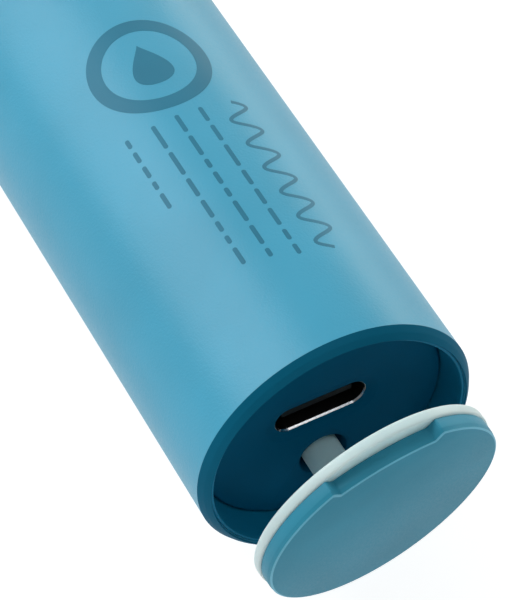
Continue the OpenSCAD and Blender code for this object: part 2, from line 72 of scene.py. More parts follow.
SHELL_HIGH = node_box("handle_shell")[1]
HANDLE_R = SHELL_HIGH.y
NOSE_X = SHELL_HIGH.x
TABLE_Z = node_box("tufts_outer")[0].z
SLEEVE_LOW, SLEEVE_HIGH = node_box("base_sleeve")
SLEEVE_R = SLEEVE_HIGH.y
PLATE_LOW, PLATE_HIGH = node_box("port_plate")
FLOOR_X, PLATE_BACK_X, PLATE_R = PLATE_LOW.x, PLATE_HIGH.x, PLATE_HIGH.y
SOCKET_LOW, SOCKET_HIGH = node_box("usb_shell")
SOCKET_W = SOCKET_HIGH.y - SOCKET_LOW.y
SOCKET_H = SOCKET_HIGH.z - SOCKET_LOW.z
SOCKET_Z = (SOCKET_LOW.z + SOCKET_HIGH.z) / 2
SHANK_LOW, SHANK_HIGH = node_box("tether_shank")
BARB_R = SHANK_HIGH.y
TETHER_Z = (SHANK_LOW.z + SHANK_HIGH.z) / 2
BUTTON_LOW, BUTTON_HIGH = node_box("power_button")
BUTTON_X = (BUTTON_LOW.x + BUTTON_HIGH.x) / 2
WINDOW_LOW, WINDOW_HIGH = node_box("light_windows")
LENS_COUNT = 3
LENS_R = (WINDOW_HIGH.y - WINDOW_LOW.y) / 2
LENS_PITCH = (WINDOW_HIGH.x - WINDOW_LOW.x - 2 * LENS_R) / (LENS_COUNT - 1)
HEAD_LOW, HEAD_HIGH = node_box("head_sleeve")

CAP_TRAVEL = JOINTS["cap_pull"]["range_m"][1] / MM
CAP_TILT = -COUPLINGS["cap_tilt"] * CAP_TRAVEL * MM
CAP_PIVOT = Vector(JOINTS["cap_tilt"]["pos_m"]) / MM
CAP_AXIS = Vector(JOINTS["cap_tilt"]["axis"])
# From the closed cap, which is coaxial with the handle, to the cap as it hangs open
CAP_OPEN = (Matrix.Translation(CAP_PIVOT) @ Matrix.Rotation(CAP_TILT, 4, CAP_AXIS)
            @ Matrix.Translation(-CAP_PIVOT) @ Matrix.Translation((-CAP_TRAVEL, 0, 0)))


def closed_box(node):
    """Box of a node of the cap, in millimetres, with the cap pushed home."""
    home = CAP_OPEN.inverted()
    points = [home @ (v.co / MM) for v in frame["nodes"][node].data.vertices]
    low = Vector([min(p[i] for p in points) for i in range(3)])
    high = Vector([max(p[i] for p in points) for i in range(3)])
    return low, high


DISC_LOW, DISC_HIGH = closed_box("cap_disc")
GASKET_HIGH = closed_box("cap_gasket")[1]
DISC_R = DISC_HIGH.y
GASKET_R = GASKET_HIGH.y

# Shapes that the frame's boxes don't give, in millimetres
GAP = 0.02                          # left between pieces that would otherwise share a face

SHELL_WALL = 0.88
LIP_LEN = 1.05                      # of the lip's slope, along the handle
LIP_BULGE = 0.05                    # how far the slope is crowned
LIP_FACE_W = 0.08                   # flat ring at the very end of the handle
LIP_BEVEL = 0.12
BARREL_LEN = 148                    # base to the start of the rounded shoulder
NOSE_FLAT_R = 7.6
NOSE_BORE_R = 5.2
NOSE_WALL = 1.7
SHOULDER_WALL = 0.9
BUTTON_HOLE_LEN, BUTTON_HOLE_W = 13.6, 8.6
LENS_HOLE_R = 0.8

BAY_R = PLATE_R + 0.05
LEDGE_R = 10                        # bore behind the bay's floor
MOUTH_FLARE, MOUTH_FLARE_IN = 0.28, 0.2  # how far the liner opens out at its face, and deeper in
MOUTH_LEN = 0.45                    # depth of that second place
PLATE_BEVEL = 0.25
LEAD_IN = 0.95                      # width of the dish round the socket
SOCKET_WALL = 0.3
SOCKET_FLARE = 0.2                  # depth of the flared mouth
FLARE_W = 0.11                      # width of the mouth's bright rim
STEM_HOLE_R = 2.17

TETHER_R = 1.7
BARB_TIP, BARB_LEN = 1.8, 2.4       # from the barb's end to its widest place, and to its shoulder
SHANK_FACE_X = SHANK_LOW.x
GASKET_X = DISC_HIGH.x + GAP
GASKET_T = 1.02
BOSS_T = 0.5
PAD_MARGIN_W, PAD_MARGIN_H = 0.9, 0.8
NOTCH_HALF = math.radians(27)
NOTCH_SOFT = math.radians(1.2)      # half the angle over which the notch's end wall rises
NOTCH_FLOOR_R = 9.65                # from the cap's axis to the middle of the notch's floor
NOTCH_CURVE_R = 16.55               # curvature of that floor
EDGE_T = 0.1                        # of the painted highlight: a lighter band round the disc's face

BUTTON_SUNK = 0.25
BUTTON_FLANGE = 0.9                 # hidden rim round the button
BUTTON_DEPTH = 1.8

HEAD_BASE_R, NECK_R = 7, 3.3
HEAD_BASE_LEN, HEAD_TAPER_LEN, HEAD_FLARE_LEN = 6, 36, 13
HEAD_BORE_R, HEAD_BORE_END = 4.6, 198
RING_BORE_R = 4.7
PLATFORM_LEN, PLATFORM_W = 25, 12.4
PLATFORM_LOW_Z, PLATFORM_TOP_Z = -2, 2.4
PLATFORM_X = HEAD_HIGH.x - PLATFORM_LEN / 2
TUFT_R, TUFT_PITCH, TUFT_ROW_PITCH = 0.8, 2.3, 2.1
TUFT_COUNTS = (7, 8, 9, 8, 7)
FILAMENT_R, FILAMENT_PITCH = 0.1, 0.225

# Facets
RINGS = 256                         # points round a large turned piece
DISC_STEPS = 720

# Turns a shape that was drawn along X so that its X axis points up, for the front face
FACE_DOWN = Matrix.Rotation(math.radians(-90), 4, "Y")
# The same for long plates, whose length then runs along the handle
LENGTHWAYS = FACE_DOWN @ Matrix.Rotation(math.radians(90), 4, "X")
BUTTON_SIDE = Matrix.Translation((BUTTON_X, 0, 0)) @ LENGTHWAYS
UPRIGHT_PLATFORM = Matrix.Translation((PLATFORM_X, 0, 0)) @ LENGTHWAYS


# ---------------------------------------------------------------- meshes

def ease(t):
    """0 to 1 with a soft start and end."""
    t = max(0, min(1, t))
    return t * t * (3 - 2 * t)


def mesh_from(name, build, transform=None):
    """A mesh from a function that fills a bmesh in millimetres."""
    shape = bmesh.new()
    build(shape)
    bmesh.ops.remove_doubles(shape, verts=shape.verts, dist=10 * TINY)
    bmesh.ops.recalc_face_normals(shape, faces=shape.faces)
    shape.transform(Matrix.Scale(MM, 4) @ (transform or Matrix()))
    mesh = bpy.data.meshes.new(name)
    shape.to_mesh(mesh)
    shape.free()
    return mesh


def bridge(shape, first, second):
    """Faces between two rings with the same number of points; a ring of one point is a pole."""
    if len(first) == 1 and len(second) == 1:
        return
    count = max(len(first), len(second))
    for i in range(count):
        j = (i + 1) % count
        corners = [first[i % len(first)], first[j % len(first)],
                   second[j % len(second)], second[i % len(second)]]
        unique = list(dict.fromkeys(corners))
        if len(unique) > 2:
            shape.faces.new(unique)


def add_lathe(shape, outline, centre=(0, 0), closed=True, segments=RINGS):
    """Turns an outline of (x, radius) points about a line along X at centre = (y, z)."""
    rings = []
    for x, radius in outline:
        if radius < TINY:
            rings.append([shape.verts.new((x, *centre))])
            continue
        rings.append([shape.verts.new((x, centre[0] + radius * math.sin(a),
                                       centre[1] + radius * math.cos(a)))
                      for a in (math.tau * i / segments for i in range(segments))])
    for first, second in zip(rings, rings[1:]):
        bridge(shape, first, second)
    if closed:
        bridge(shape, rings[-1], rings[0])


def fillet(outline, radii, steps=5):
    """Rounds the corners of a closed (x, radius) outline; radii has one value a corner."""
    straight = 1e-3
    rounded = []
    count = len(outline)
    for i, radius in enumerate(radii):
        corner = Vector(outline[i])
        back = (Vector(outline[i - 1]) - corner).normalized()
        ahead = (Vector(outline[(i + 1) % count]) - corner).normalized()
        if radius == 0 or abs(back.cross(ahead)) < straight:
            rounded.append(tuple(corner))
            continue
        half = math.acos(max(-1, min(1, back.dot(ahead)))) / 2
        middle = corner + (back + ahead).normalized() * radius / math.sin(half)
        start = corner + back * radius / math.tan(half) - middle
        turn = start.angle_signed(corner + ahead * radius / math.tan(half) - middle)
        for step in range(steps + 1):
            point = Matrix.Rotation(-turn * step / steps, 2) @ start
            rounded.append(tuple(middle + point))
    return rounded


def arc(centre, radii, start, end, steps):
    """Points (x, radius) on an ellipse; angle 0 points away from the axis, 90 along +X."""
    angles = [math.radians(start + (end - start) * i / steps) for i in range(steps + 1)]
    return [(centre[0] + radii[0] * math.sin(a), centre[1] + radii[1] * math.cos(a)) for a in angles]


def offset_outline(outline, inset):
    """Moves a dense closed (y, z) outline inwards; it runs so that its inside is on its right."""
    count = len(outline)
    moved = []
    for i, point in enumerate(outline):
        along = Vector(outline[(i + 1) % count]) - Vector(outline[i - 1])
        inwards = Vector((along.y, -along.x)).normalized()
        moved.append(Vector(point) + inwards * inset)
    return moved


def add_plate(shape, outline, layers, centre=(0, 0), moved_in=offset_outline):
    """Stacks rings of an outline: layers holds (x, inset) pairs; both ends are filled.

    moved_in(outline, inset) gives a ring's (y, z) points.
    """
    rings = [[shape.verts.new((x, centre[0] + p[0], centre[1] + p[1]))
              for p in moved_in(outline, inset)] for x, inset in layers]
    for first, second in zip(rings, rings[1:]):
        bridge(shape, first, second)
    shape.faces.new(rings[0])
    shape.faces.new(rings[-1])


def stadium_outline(width, height, steps=24):
    """Round-ended outline as (y, z) points, clockwise from the top right."""
    reach, radius = (width - height) / 2, height / 2
    points = []
    for side, start in ((1, 0), (-1, math.pi)):
        for i in range(steps + 1):
            a = start + math.pi * i / steps
            points.append((side * reach + radius * math.sin(a), radius * math.cos(a)))
    return points


def edge_layers(x0, x1, front, back, steps=5):
    """Layers of a plate from x0 to x1 whose edges are rounded by front and back."""
    quarter = [math.pi / 2 * i / steps for i in range(steps + 1)]
    layers = [(x0 + front * (1 - math.cos(a)), front * (1 - math.sin(a))) for a in quarter]
    layers += [(x1 - back * (1 - math.sin(a)), back * (1 - math.cos(a))) for a in quarter]
    return layers


def cut(mesh, *cutters, operation="DIFFERENCE"):
    """Takes cutter meshes out of a mesh, or joins them to it, exactly."""
    body = bpy.data.objects.new("cut_body", mesh)
    bpy.context.scene.collection.objects.link(body)
    tools = []
    for cutter in cutters:
        tool = bpy.data.objects.new("cut_tool", cutter)
        bpy.context.scene.collection.objects.link(tool)
        step = body.modifiers.new("cut", "BOOLEAN")
        step.operation = operation
        step.solver = "EXACT"
        step.object = tool
        tools.append(tool)
    bpy.context.view_layer.update()
    result = bpy.data.meshes.new_from_object(body.evaluated_get(bpy.context.evaluated_depsgraph_get()))
    for thing in [body, *tools]:
        bpy.data.objects.remove(thing)
    return result


# ---------------------------------------------------------------- materials

def shader_tree(name):
    """A new material, its node tree and its Principled shader."""
    made = bpy.data.materials.new(name)
    made.use_nodes = True
    tree = made.node_tree
    return made, tree, tree.nodes["Principled BSDF"]


def add_node(tree, kind, **values):
    """Adds a node; values set its properties, or else its inputs, named with _ for a space."""
    node = tree.nodes.new(kind)
    for key, value in values.items():
        if hasattr(node, key):
            setattr(node, key, value)
        else:
            node.inputs[key.replace("_", " ")].default_value = value
    return node


def object_place(tree):
    """Coordinates in metres that stick to the piece."""
    return add_node(tree, "ShaderNodeTexCoord").outputs["Object"]


def noise(tree, per_mm, detail=3.0, rough=0.55, squeeze=None):
    """Noise with that many cells in a millimetre; squeeze scales the axes first."""
    where = object_place(tree)
    if squeeze:
        scale = add_node(tree, "ShaderNodeMapping")
        scale.inputs["Scale"].default_value = squeeze
        tree.links.new(where, scale.inputs["Vector"])
        where = scale.outputs["Vector"]
    node = add_node(tree, "ShaderNodeTexNoise", Scale=per_mm / MM, Detail=detail, Roughness=rough)
    tree.links.new(where, node.inputs["Vector"])
    return node.outputs["Fac"]


def ramp(tree, source, stops):
    """From one colour to another: stops holds two (position, colour) pairs."""
    node = add_node(tree, "ShaderNodeValToRGB")
    tree.links.new(source, node.inputs["Fac"])
    for element, (position, colour) in zip(node.color_ramp.elements, stops):
        element.position = position
        element.color = (*colour, 1)
    return node.outputs["Color"]


def span(tree, source, low, high, at=(0.3, 0.7)):
    """Maps a value, which runs over at, to a range of numbers."""
    node = add_node(tree, "ShaderNodeMapRange")
    tree.links.new(source, node.inputs["Value"])
    for name, value in (("From Min", at[0]), ("From Max", at[1]), ("To Min", low), ("To Max", high)):
        node.inputs[name].default_value = value
    return node.outputs["Result"]


def bump(tree, shader, height, depth_mm, under=None):
    """Raises the surface by a height map, depth_mm deep, on top of the bump under it."""
    node = add_node(tree, "ShaderNodeBump", Strength=1.0, Distance=depth_mm * MM)
    tree.links.new(height, node.inputs["Height"])
    if under:
        tree.links.new(under, node.inputs["Normal"])
    tree.links.new(node.outputs["Normal"], shader.inputs["Normal"])
    return node.outputs["Normal"]


def shade(colour, factor):
    """The colour made lighter or darker."""
    return tuple(min(1, channel * factor) for channel in colour)


def plastic(name, colour, rough=0.4, grain=6.0, depth=0.004, vary=0.06, coat=0.0, sss=0.0, gloss=0.5):
    """Moulded plastic: faint colour drift, uneven gloss and a fine texture."""
    made, tree, shader = shader_tree(name)
    drift = noise(tree, 0.12, 2)
    tree.links.new(ramp(tree, drift, [(0.3, shade(colour, 1 - vary)), (0.7, shade(colour, 1 + vary))]),
                   shader.inputs["Base Color"])
    fine = noise(tree, grain, 2)
    tree.links.new(span(tree, fine, rough - 0.05, rough + 0.06), shader.inputs["Roughness"])
    bump(tree, shader, fine, depth)
    shader.inputs["Specular IOR Level"].default_value = gloss
    shader.inputs["Coat Weight"].default_value = coat
    shader.inputs["Coat Roughness"].default_value = 0.2
    if sss:
        shader.inputs["Subsurface Weight"].default_value = sss
        shader.inputs["Subsurface Radius"].default_value = (1.2 * MM, 1.3 * MM, 1.4 * MM)
        shader.inputs["Subsurface Scale"].default_value = 1.0
    return made


def soft_touch(name, colour, rough=0.35):
    """Rubber-feel paint: a mottled fine grain that breaks up the sheen."""
    made, tree, shader = shader_tree(name)
    drift = noise(tree, 0.08, 3)
    base = ramp(tree, drift, [(0.32, shade(colour, 0.95)), (0.68, shade(colour, 1.05))])
    tree.links.new(base, shader.inputs["Base Color"])
    speck = noise(tree, 4.5, 3, 0.65)
    tree.links.new(span(tree, speck, rough - 0.06, rough + 0.08), shader.inputs["Roughness"])
    wave = bump(tree, shader, noise(tree, 0.7, 2), 0.006)
    bump(tree, shader, speck, 0.025, under=wave)
    shader.inputs["Specular IOR Level"].default_value = 0.5
    shader.inputs["Sheen Weight"].default_value = 0.05
    shader.inputs["Sheen Roughness"].default_value = 0.4
    return made


def metal(name, colour, rough=0.25, along=(1, 12, 12), grain=1.5, depth=0.002):
    """Metal with fine lines drawn along one axis."""
    made, tree, shader = shader_tree(name)
    lines = noise(tree, grain, 3, 0.6, squeeze=along)
    tree.links.new(ramp(tree, lines, [(0.3, shade(colour, 0.86)), (0.7, shade(colour, 1.08))]),
                   shader.inputs["Base Color"])
    tree.links.new(span(tree, lines, rough * 0.8, rough * 1.25), shader.inputs["Roughness"])
    bump(tree, shader, lines, depth)
    shader.inputs["Metallic"].default_value = 1.0
    return made


def silicone(name, colour, rough=0.35, clear=0.25):
    """Milky translucent rubber that light soaks into."""
    made, tree, shader = shader_tree(name)
    cloud = noise(tree, 0.35, 3)
    tree.links.new(ramp(tree, cloud, [(0.3, shade(colour, 0.96)), (0.7, shade(colour, 1.03))]),
                   shader.inputs["Base Color"])
    fine = noise(tree, 5, 2)
    tree.links.new(span(tree, fine, rough - 0.05, rough + 0.07), shader.inputs["Roughness"])
    bump(tree, shader, fine, 0.003)
    shader.inputs["Subsurface Weight"].default_value = 0.6
    shader.inputs["Subsurface Radius"].default_value = (1.6 * MM, 1.8 * MM, 1.9 * MM)
    shader.inputs["Subsurface Scale"].default_value = 1.0
    shader.inputs["Transmission Weight"].default_value = clear
    shader.inputs["IOR"].default_value = 1.41
    return made


def circuit(name, colour):
    """Solder mask with copper tracks just showing through."""
    tracks_per_mm = 0.22
    made, tree, shader = shader_tree(name)
    tracks = add_node(tree, "ShaderNodeTexBrick", Scale=tracks_per_mm / MM)
    tracks.inputs["Color1"].default_value = (*shade(colour, 1.0), 1)
    tracks.inputs["Color2"].default_value = (*shade(colour, 1.35), 1)
    tracks.inputs["Mortar"].default_value = (*shade(colour, 2.2), 1)
    tree.links.new(object_place(tree), tracks.inputs["Vector"])
    tree.links.new(tracks.outputs["Color"], shader.inputs["Base Color"])
    tree.links.new(span(tree, noise(tree, 2, 2), 0.25, 0.4), shader.inputs["Roughness"])
    bump(tree, shader, tracks.outputs["Fac"], 0.02)
    return made


def bristle(name, colour):
    """Nylon filament, a little clear, with streaks along its length."""
    made, tree, shader = shader_tree(name)
    streak = noise(tree, 4, 2, squeeze=(1, 1, 0.08))
    tree.links.new(ramp(tree, streak, [(0.3, shade(colour, 0.88)), (0.7, shade(colour, 1.05))]),
                   shader.inputs["Base Color"])
    tree.links.new(span(tree, streak, 0.28, 0.42), shader.inputs["Roughness"])
    shader.inputs["Subsurface Weight"].default_value = 0.3
    shader.inputs["Subsurface Radius"].default_value = (0.5 * MM, 0.5 * MM, 0.5 * MM)
    shader.inputs["Subsurface Scale"].default_value = 1.0
    return made


SHELL_BLUE = (0.040, 0.36, 0.55)
PRINT_BLUE = (0.012, 0.185, 0.295)
# Lip colour darkened well below the barrel's: painted shade on the lip's front-facing slope.
LIP_SHADE_BLUE = (0.004, 0.125, 0.22)
LINER_BLUE = (0.002, 0.18, 0.32)
# Plate colour darkened well below the shell's blue: painted shade for the bay it sits in.
PORT_SHADE_BLUE = (0.0005, 0.092, 0.18)
CAP_BLUE = (0.036, 0.28, 0.41)
EDGE_HIGHLIGHT_BLUE = (0.12, 0.50, 0.68)
MILK = (0.70, 0.96, 1.0)
BLACK = (0.012, 0.012, 0.014)

RECIPES = {
    "soft_touch_blue": lambda n: soft_touch(n, SHELL_BLUE),
    "bare_lip": lambda n: plastic(n, LIP_SHADE_BLUE, 0.45, gloss=0.03),
    "back_print": lambda n: plastic(n, PRINT_BLUE, 0.42, gloss=0.3),
    "liner_blue": lambda n: plastic(n, LINER_BLUE, 0.5, gloss=0.1),
    "port_blue": lambda n: plastic(n, PORT_SHADE_BLUE, 0.5, grain=8, gloss=0.02),
    "socket_steel": lambda n: metal(n, (0.80, 0.80, 0.80), 0.16, along=(0.3, 6, 6)),
    # Near-black metal: painted shade for the inside of the socket.
    "socket_dark": lambda n: metal(n, (0.02, 0.02, 0.02), 0.4, along=(0.3, 6, 6)),
    "socket_black": lambda n: plastic(n, BLACK, 0.5, gloss=0.2),
    # Gold darkened well below its own colour: painted shade inside the socket.
    "contact_gold": lambda n: metal(n, (0.30, 0.19, 0.07), 0.35),
    "board_green": lambda n: circuit(n, (0.010, 0.10, 0.045)),
    "chip_black": lambda n: plastic(n, (0.02, 0.02, 0.022), 0.55, grain=10),
    "chassis_white": lambda n: plastic(n, (0.72, 0.73, 0.73), 0.45),
    "cell_steel": lambda n: metal(n, (0.62, 0.63, 0.65), 0.3),
    "cell_wrap": lambda n: plastic(n, (0.02, 0.08, 0.32), 0.22, coat=0.4),
    "led_white": lambda n: plastic(n, (0.85, 0.83, 0.66), 0.2, coat=0.5),
    "window_clear": lambda n: silicone(n, (0.82, 0.90, 0.94), 0.15, 0.5),
    "seal_milky": lambda n: silicone(n, MILK, 0.4, 0.1),
    "seal_black": lambda n: plastic(n, BLACK, 0.6, grain=9),
    "button_blue": lambda n: plastic(n, (0.045, 0.25, 0.38), 0.4),
    "motor_steel": lambda n: metal(n, (0.50, 0.51, 0.53), 0.32),
    "core_dark": lambda n: metal(n, (0.10, 0.10, 0.11), 0.5, along=(20, 1, 1)),
    "copper_wire": lambda n: metal(n, (0.72, 0.30, 0.14), 0.3, along=(2, 20, 20), depth=0.02),
    "wire_red": lambda n: plastic(n, (0.40, 0.012, 0.010), 0.35),
    "magnet_grey": lambda n: metal(n, (0.35, 0.35, 0.37), 0.35),
    "shaft_steel": lambda n: metal(n, (0.70, 0.71, 0.72), 0.2, along=(10, 1, 1)),
    "ring_white": lambda n: plastic(n, (0.80, 0.82, 0.83), 0.25, coat=0.3),
    "head_white": lambda n: plastic(n, (0.84, 0.86, 0.87), 0.32, sss=0.15),
    "insert_grey": lambda n: plastic(n, (0.12, 0.125, 0.13), 0.45),
    "bristle_white": lambda n: bristle(n, (0.86, 0.88, 0.90)),
    "bristle_blue": lambda n: bristle(n, (0.09, 0.36, 0.60)),
    "cap_edge": lambda n: plastic(n, EDGE_HIGHLIGHT_BLUE, 0.35, gloss=0.4),
    "cap_blue": lambda n: plastic(n, CAP_BLUE, 0.42, grain=5, gloss=0.15),
    "gasket_milky": lambda n: silicone(n, MILK, 0.35, 0.12),
}


def material(slot):
    """The material of a slot, made at its first use."""
    return bpy.data.materials.get("look_" + slot) or RECIPES[slot]("look_" + slot)


def finish_object(name, mesh, body, slot, replaced=(), sharp=32, look=None):
    """Shades a mesh, links it as an object and puts it on its body, if it rides on just one."""
    mesh.polygons.foreach_set("use_smooth", [True] * len(mesh.polygons))
    mesh.set_sharp_from_angle(angle=math.radians(sharp))
    piece = bpy.data.objects.new(name, mesh)
    bpy.context.scene.collection.objects.link(piece)
    if body:
        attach(piece, body)
    if replaced:
        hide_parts(*replaced)
    piece.data.materials.append(material(look or slot))
    return piece


def dress_cad_nodes():
    """Gives every CAD node the material of its record slot."""
    slots = {part["node"]: part["material_slot"] for part in RECORD["subparts"]}
    for name, node in frame["nodes"].items():
        node.data.materials.clear()
        node.data.materials.append(material(slots[name]))
        for face in node.data.polygons:
            face.use_smooth = True
        node.data.set_sharp_from_angle(angle=math.radians(30))


# ---------------------------------------------------------------- the handle

def make_handle_shell():
    """Barrel with a sloped lip at its base, a rounded shoulder, and holes in its front face."""
    inner_r = HANDLE_R - SHELL_WALL
    front_r = inner_r + LIP_FACE_W
    shoulder = NOSE_X - BARREL_LEN
    lip = [(LIP_BEVEL, inner_r), (0, front_r),
           (LIP_LEN / 2 - LIP_BULGE, (front_r + HANDLE_R) / 2 + LIP_BULGE), (LIP_LEN, HANDLE_R)]
    lip_radii = [0.03, 0.05, 0.6, 0.08]
    outer = arc((BARREL_LEN, NOSE_FLAT_R), (shoulder, HANDLE_R - NOSE_FLAT_R), 0, 90, 48)
    nose = [(NOSE_X, NOSE_BORE_R), (NOSE_X - NOSE_WALL, NOSE_BORE_R)]
    inner = arc((BARREL_LEN, NOSE_FLAT_R - SHOULDER_WALL),
                (shoulder - NOSE_WALL, inner_r - NOSE_FLAT_R + SHOULDER_WALL), 90, 0, 32)
    rest = outer + nose + inner
    outline = fillet(lip + rest, lip_radii + [0] * len(rest))
    shell = mesh_from("handle_shell_fine", lambda shape: add_lathe(shape, outline))

    outside, button_cut_end, lens_cut_end = -HANDLE_R - 1, -9, -HANDLE_R + 3
    holes = [mesh_from("button_hole", lambda shape: add_plate(
        shape, stadium_outline(BUTTON_HOLE_LEN, BUTTON_HOLE_W),
        [(outside, 0), (button_cut_end, 0)]), BUTTON_SIDE)]
    for i in range(LENS_COUNT):
        at = WINDOW_LOW.x + LENS_R + i * LENS_PITCH
        holes.append(mesh_from("light_hole", lambda shape: add_lathe(
            shape, [(outside, 0), (outside, LENS_HOLE_R), (lens_cut_end, LENS_HOLE_R),
                    (lens_cut_end, 0)], closed=False, segments=32),
            Matrix.Translation((at, 0, 0)) @ FACE_DOWN))
    piece = finish_object("handle_shell_fine", cut(shell, *holes), "handle",
                          "soft_touch_blue", ["handle_shell"])
    # The lip's slope takes the darker lip material: painted shade, as little light reaches this
    # front-facing slope.
    piece.data.materials.append(material("bare_lip"))
    for face in piece.data.polygons:
        if face.center.x < LIP_LEN * MM:
            face.material_index = 1


def make_base_sleeve():
    """Liner of the charging bay, with a softly rounded mouth."""
    face_x, seat_x, end_x = SLEEVE_LOW.x, PLATE_BACK_X + GAP, SLEEVE_HIGH.x
    outline = [(face_x, SLEEVE_R), (face_x, BAY_R + MOUTH_FLARE),
               (face_x + MOUTH_LEN, BAY_R + MOUTH_FLARE_IN), (FLOOR_X, BAY_R), (seat_x, BAY_R),
               (seat_x, LEDGE_R), (end_x, LEDGE_R), (end_x, SLEEVE_R)]
    radii = [0.05, 0.06, 0.3, 0, 0, 0, 0, 0]
    mesh = mesh_from("base_sleeve_fine", lambda shape: add_lathe(shape, fillet(outline, radii)))
    finish_object("base_sleeve_fine", mesh, "handle", "liner_blue", ["base_sleeve"])


def make_port_plate():
    """Floor of the bay: a dished lead-in round the socket, and the tether's hole."""
    outline = [(FLOOR_X, 0), (FLOOR_X, PLATE_R - PLATE_BEVEL), (FLOOR_X + PLATE_BEVEL, PLATE_R),
               (PLATE_BACK_X, PLATE_R), (PLATE_BACK_X, 0)]
    disc = mesh_from("port_plate_fine", lambda shape: add_lathe(
        shape, fillet(outline, [0, 0.12, 0.12, 0, 0]), closed=False, segments=192))

    # The plate hides the socket's rim up to its flare; the dish opens out from there
    hidden = SOCKET_WALL - GAP - FLARE_W
    opening = stadium_outline(SOCKET_W - 2 * hidden, SOCKET_H - 2 * hidden)
    mouth_x, beyond = SOCKET_LOW.x, PLATE_BACK_X + 1
    dish = [(FLOOR_X - 0.5, -LEAD_IN - 0.1), (FLOOR_X - 0.02, -LEAD_IN - 0.07),
            (FLOOR_X + 0.02, -LEAD_IN + 0.03), (FLOOR_X + 0.1, -LEAD_IN + 0.22),
            (mouth_x - 0.1, -0.16), (mouth_x - 0.04, -0.04), (mouth_x - GAP, 0),
            (mouth_x - GAP, -hidden - GAP), (beyond, -hidden - GAP)]
    funnel = mesh_from("funnel", lambda shape: add_plate(shape, opening, dish, (0, SOCKET_Z)))
    hole = [(FLOOR_X - 1, 0), (FLOOR_X - 1, STEM_HOLE_R + 0.5), (FLOOR_X - 0.01, STEM_HOLE_R + 0.35),
            (FLOOR_X + 0.12, STEM_HOLE_R + 0.12), (FLOOR_X + 0.4, STEM_HOLE_R),
            (beyond, STEM_HOLE_R), (beyond, 0)]
    drill = mesh_from("drill", lambda shape: add_lathe(shape, hole, (0, TETHER_Z), False, 64))
    finish_object("port_plate_fine", cut(disc, funnel, drill), "handle", "port_blue", ["port_plate"])


def make_socket():
    """Drawn steel shell of the socket, whose mouth flares out to its outer edge; past the flare it is
    near-black metal, painted shade for the socket's dark inside.
    """
    soft = 0.03
    x0, x1 = SOCKET_LOW.x, SOCKET_HIGH.x
    outline = stadium_outline(SOCKET_W, SOCKET_H)
    layers = [(x0, SOCKET_WALL - FLARE_W), (x0, 0), (x1, 0), (x1, SOCKET_WALL),
              (x0 + SOCKET_FLARE + soft, SOCKET_WALL), (x0 + SOCKET_FLARE - soft, SOCKET_WALL - soft)]

    def build(shape):
        rings = [[shape.verts.new((x, p[0], SOCKET_Z + p[1])) for p in offset_outline(outline, inset)]
                 for x, inset in layers]
        for first, second in zip(rings, rings[1:] + rings[:1]):
            bridge(shape, first, second)

    piece = finish_object("usb_shell_fine", mesh_from("usb_shell_fine", build), "handle", "socket_steel",
                          ["usb_shell"])
    # Past the flare the shell takes near-black metal: painted shade inside the socket.
    piece.data.materials.append(material("socket_dark"))
    for face in piece.data.polygons:
        if face.center.x > (x0 + SOCKET_FLARE - soft) * MM:
            face.material_index = 1


# ---------------------------------------------------------------- the end cap

def notched_disc(angles, inset):
    """Disc outline with a shallow finger notch at its top, as (y, z) points, clockwise."""
    curve_z = NOTCH_FLOOR_R - NOTCH_CURVE_R
    half = NOTCH_HALF + inset / DISC_R
    points = []
    for a in angles:
        off = abs(a if a < math.pi else a - math.tau)
        reach = math.sqrt((NOTCH_CURVE_R - inset) ** 2 - (curve_z * math.sin(a)) ** 2)
        floor_r = curve_z * math.cos(a) + reach
        inside = ease((half + NOTCH_SOFT - off) / (2 * NOTCH_SOFT))
        radius = (DISC_R - inset) * (1 - inside) + floor_r * inside
        points.append((radius * math.sin(a), radius * math.cos(a)))
    return points


def make_cap_disc():
    """Coloured disc of the cap, with a lighter band round its face: a painted highlight on the front
    bevel.
    """
    x0, x1 = DISC_LOW.x, DISC_HIGH.x
    # From the rounded edge of the face, down the side, to a small bevel at the back
    layers = [(x0, 0.22), (x0 + EDGE_T / 2, 0.12), (x0 + EDGE_T, 0.06), (x0 + 0.4, 0.012),
              (x0 + 0.43, 0.003), (x0 + 0.48, 0), (x1 - 0.06, 0), (x1 - 0.02, 0.02), (x1, 0.08)]
    angles = [math.tau * i / DISC_STEPS for i in range(DISC_STEPS)]
    mesh = mesh_from("cap_disc_fine", lambda shape: add_plate(
        shape, angles, layers, moved_in=notched_disc), CAP_OPEN)
    piece = finish_object("cap_disc_fine", mesh, "end_cap", "cap_blue", ["cap_disc"], sharp=40)
    # The second, lighter material goes on the front bevel's faces: a painted highlight round the face.
    piece.data.materials.append(material("cap_edge"))
    home = CAP_OPEN.inverted()
    for face in piece.data.polygons:
        depth = (home @ (face.center / MM)).x - x0
        if EDGE_T / 8 < depth < EDGE_T:
            face.material_index = 1


def make_cap_gasket():
    """Soft back of the cap, with the pad that covers the socket and the boss of the tether."""
    x0 = GASKET_X
    x1 = x0 + GASKET_T
    sunk = 0.1
    plate = fillet([(x0, 0), (x0, GASKET_R), (x1, GASKET_R), (x1, 0)], [0, 0.18, 0.3, 0])
    boss = [(x1 - sunk, 3.2), (x1, 3.1), (x1 + 0.12, 2.5), (x1 + BOSS_T, TETHER_R + 0.1),
            (x1 + BOSS_T, 0)]
    pad = stadium_outline(SOCKET_W + PAD_MARGIN_W, SOCKET_H + PAD_MARGIN_H)

    def build(shape):
        add_lathe(shape, plate, closed=False)
        add_lathe(shape, boss, (0, TETHER_Z), False, 64)
        add_plate(shape, pad, edge_layers(x1 - sunk, GASKET_HIGH.x, 0, 0.25), (0, SOCKET_Z))

    finish_object("cap_gasket_fine", mesh_from("cap_gasket_fine", build, CAP_OPEN), "end_cap",
                  "gasket_milky", ["cap_gasket"])


